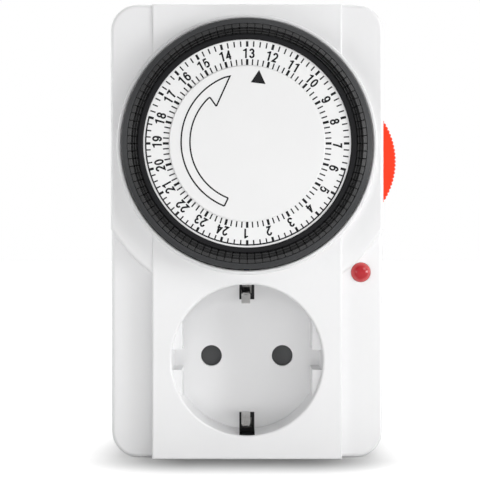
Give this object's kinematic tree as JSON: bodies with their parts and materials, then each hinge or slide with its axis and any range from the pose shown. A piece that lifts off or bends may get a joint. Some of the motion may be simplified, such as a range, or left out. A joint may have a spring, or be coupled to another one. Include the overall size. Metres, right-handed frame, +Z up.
{
  "type": "plug-in timer switch",
  "caption": "Plug-in mechanical timer switch: a segment dial with push-down tappets over a side-earthed socket, with an override knob, an indicator lamp and a two-pin plug at the back.",
  "frame": {"origin": "centre of the case's flat bottom face, midway between the front panel and the back face", "axes": "+Z up, +Y from the dial towards the plug pins, +X to the right as seen from the front"},
  "size_m": [0.0753, 0.082, 0.1175],
  "materials": {
    "white_abs": "fine satin white ABS",
    "dial_black": "satin black ABS",
    "tappet_black": "black acetal",
    "scale_white": "white plastic with black printing",
    "orange_plastic": "orange plastic",
    "red_lens": "translucent red lens",
    "neon_glass": "clear glass with a glow electrode",
    "grey_plastic": "dark grey polyamide",
    "chassis_grey": "grey acetal",
    "gear_ivory": "natural acetal",
    "brass": "stamped brass",
    "spring_steel": "spring steel",
    "zinc_steel": "zinc plated steel",
    "nickel_brass": "nickel plated brass",
    "magnet": "bonded ferrite",
    "copper_coil": "enamelled copper winding",
    "silver_contact": "silver alloy",
    "lead_red": "red insulation",
    "lead_blue": "blue insulation"
  },
  "bodies": {
    "case": {"front_housing": "white_abs", "socket_insert": "white_abs", "back_cover": "white_abs", "chassis_plate": "chassis_grey", "centre_disc": "scale_white", "dial_washer": "zinc_steel", "motor_can": "zinc_steel", "motor_coil": "copper_coil", "motor_plate": "zinc_steel", "arbor_a": "spring_steel", "arbor_b": "spring_steel", "switch_pin": "spring_steel", "switch_spring": "spring_steel", "switch_base": "grey_plastic", "fixed_contact": "silver_contact", "fixed_blade": "brass", "blade_terminal": "brass", "detent_spring": "spring_steel", "lamp_lens": "red_lens", "neon_lamp": "neon_glass", "lamp_leads": "lead_red", "contact_live": "brass", "contact_neutral": "brass", "live_link": "brass", "live_busbar": "brass", "neutral_busbar": "brass", "plug_pin_live": "nickel_brass", "plug_pin_neutral": "nickel_brass", "earth_bracket": "nickel_brass", "shutter_spring": "spring_steel", "shutter_cover": "chassis_grey", "case_screws": "zinc_steel", "chassis_screws": "zinc_steel", "motor_leads": "lead_blue"},
    "dial": {"dial_wheel": "dial_black", "scale_ring": "scale_white"},
    "tappets_00_03": {"tappets_00_03": "tappet_black"},
    "tappets_03_06": {"tappets_03_06": "tappet_black"},
    "tappets_06_09": {"tappets_06_09": "tappet_black"},
    "tappets_09_12": {"tappets_09_12": "tappet_black"},
    "tappets_12_15": {"tappets_12_15": "tappet_black"},
    "tappets_15_18": {"tappets_15_18": "tappet_black"},
    "tappets_18_21": {"tappets_18_21": "tappet_black"},
    "tappets_21_24": {"tappets_21_24": "tappet_black"},
    "clutch": {"clutch_pinion": "brass", "clutch_spring": "spring_steel"},
    "clutch_gear": {"clutch_wheel": "gear_ivory"},
    "gear_1": {"gear_1": "gear_ivory"},
    "gear_2": {"gear_2": "gear_ivory"},
    "gear_3": {"gear_3": "gear_ivory"},
    "gear_4": {"gear_4": "gear_ivory"},
    "gear_5": {"gear_5": "gear_ivory"},
    "rotor": {"rotor": "magnet"},
    "lever": {"switch_lever": "gear_ivory"},
    "blade": {"moving_blade": "brass", "moving_contact": "silver_contact"},
    "override": {"override_lever": "orange_plastic"},
    "shutter": {"shutter": "grey_plastic"}
  },
  "joints": [
    {"name": "dial_spin", "type": "hinge", "parent": "case", "child": "dial", "pos_m": [0, -0.018, 0.0812], "axis": [0, 1, 0], "continuous": true},
    {"name": "tappets_00_03_press", "type": "slide", "parent": "dial", "child": "tappets_00_03", "axis": [0, 1, 0], "range_m": [0, 0.003]},
    {"name": "tappets_03_06_press", "type": "slide", "parent": "dial", "child": "tappets_03_06", "axis": [0, 1, 0], "range_m": [0, 0.003]},
    {"name": "tappets_06_09_press", "type": "slide", "parent": "dial", "child": "tappets_06_09", "axis": [0, 1, 0], "range_m": [0, 0.003]},
    {"name": "tappets_09_12_press", "type": "slide", "parent": "dial", "child": "tappets_09_12", "axis": [0, 1, 0], "range_m": [0, 0.003]},
    {"name": "tappets_12_15_press", "type": "slide", "parent": "dial", "child": "tappets_12_15", "axis": [0, 1, 0], "range_m": [0, 0.003]},
    {"name": "tappets_15_18_press", "type": "slide", "parent": "dial", "child": "tappets_15_18", "axis": [0, 1, 0], "range_m": [0, 0.003]},
    {"name": "tappets_18_21_press", "type": "slide", "parent": "dial", "child": "tappets_18_21", "axis": [0, 1, 0], "range_m": [0, 0.003]},
    {"name": "tappets_21_24_press", "type": "slide", "parent": "dial", "child": "tappets_21_24", "axis": [0, 1, 0], "range_m": [0, 0.003]},
    {"name": "clutch_spin", "type": "hinge", "parent": "case", "child": "clutch", "pos_m": [-0.01689, -0.008, 0.09095], "axis": [0, 1, 0], "continuous": true},
    {"name": "rotor_spin", "type": "hinge", "parent": "case", "child": "rotor", "pos_m": [-0.01689, 0.01, 0.09095], "axis": [0, 1, 0], "continuous": true},
    {"name": "gear_1_spin", "type": "hinge", "parent": "case", "child": "gear_1", "pos_m": [-0.01227, 0.003, 0.07826], "axis": [0, 1, 0], "continuous": true},
    {"name": "gear_2_spin", "type": "hinge", "parent": "case", "child": "gear_2", "pos_m": [-0.01689, 0.003, 0.09095], "axis": [0, 1, 0], "continuous": true},
    {"name": "gear_3_spin", "type": "hinge", "parent": "case", "child": "gear_3", "pos_m": [-0.01227, 0.003, 0.07826], "axis": [0, 1, 0], "continuous": true},
    {"name": "gear_4_spin", "type": "hinge", "parent": "case", "child": "gear_4", "pos_m": [-0.01689, 0.003, 0.09095], "axis": [0, 1, 0], "continuous": true},
    {"name": "gear_5_spin", "type": "hinge", "parent": "case", "child": "gear_5", "pos_m": [-0.01227, 0.003, 0.07826], "axis": [0, 1, 0], "continuous": true},
    {"name": "clutch_gear_spin", "type": "hinge", "parent": "case", "child": "clutch_gear", "pos_m": [-0.01689, -0.0017, 0.09095], "axis": [0, 1, 0], "continuous": true},
    {"name": "lever_press", "type": "hinge", "parent": "case", "child": "lever", "pos_m": [0.02533, -0.0075, 0.05257], "axis": [-1, 0, 0], "range_deg": [0, 10.5], "stiffness_Nm_per_rad": 0.02},
    {"name": "blade_flex", "type": "hinge", "parent": "case", "child": "blade", "pos_m": [0.02533, 0.0013, 0.05178], "axis": [-1, 0, 0], "range_deg": [0, 9.45], "stiffness_Nm_per_rad": 0.01},
    {"name": "override_turn", "type": "hinge", "parent": "case", "child": "override", "pos_m": [0.02005, 0.0014, 0.0777], "axis": [0, -1, 0], "range_deg": [0, 14]},
    {"name": "shutter_turn", "type": "hinge", "parent": "case", "child": "shutter", "pos_m": [0, 0.0006, 0.0256], "axis": [0, 1, 0], "range_deg": [0, 40], "stiffness_Nm_per_rad": 0.004}
  ],
  "couplings": [
    {"joint": "clutch_spin", "follows": "dial_spin", "ratio": 7.5},
    {"joint": "gear_1_spin", "follows": "rotor_spin", "ratio": -0.125},
    {"joint": "gear_2_spin", "follows": "rotor_spin", "ratio": 0.015625},
    {"joint": "gear_3_spin", "follows": "rotor_spin", "ratio": -0.0017361},
    {"joint": "gear_4_spin", "follows": "rotor_spin", "ratio": 0.00034722},
    {"joint": "gear_5_spin", "follows": "rotor_spin", "ratio": -0.000069444},
    {"joint": "clutch_gear_spin", "follows": "rotor_spin", "ratio": 0.000013889},
    {"joint": "blade_flex", "follows": "lever_press", "ratio": 0.9}
  ]
}
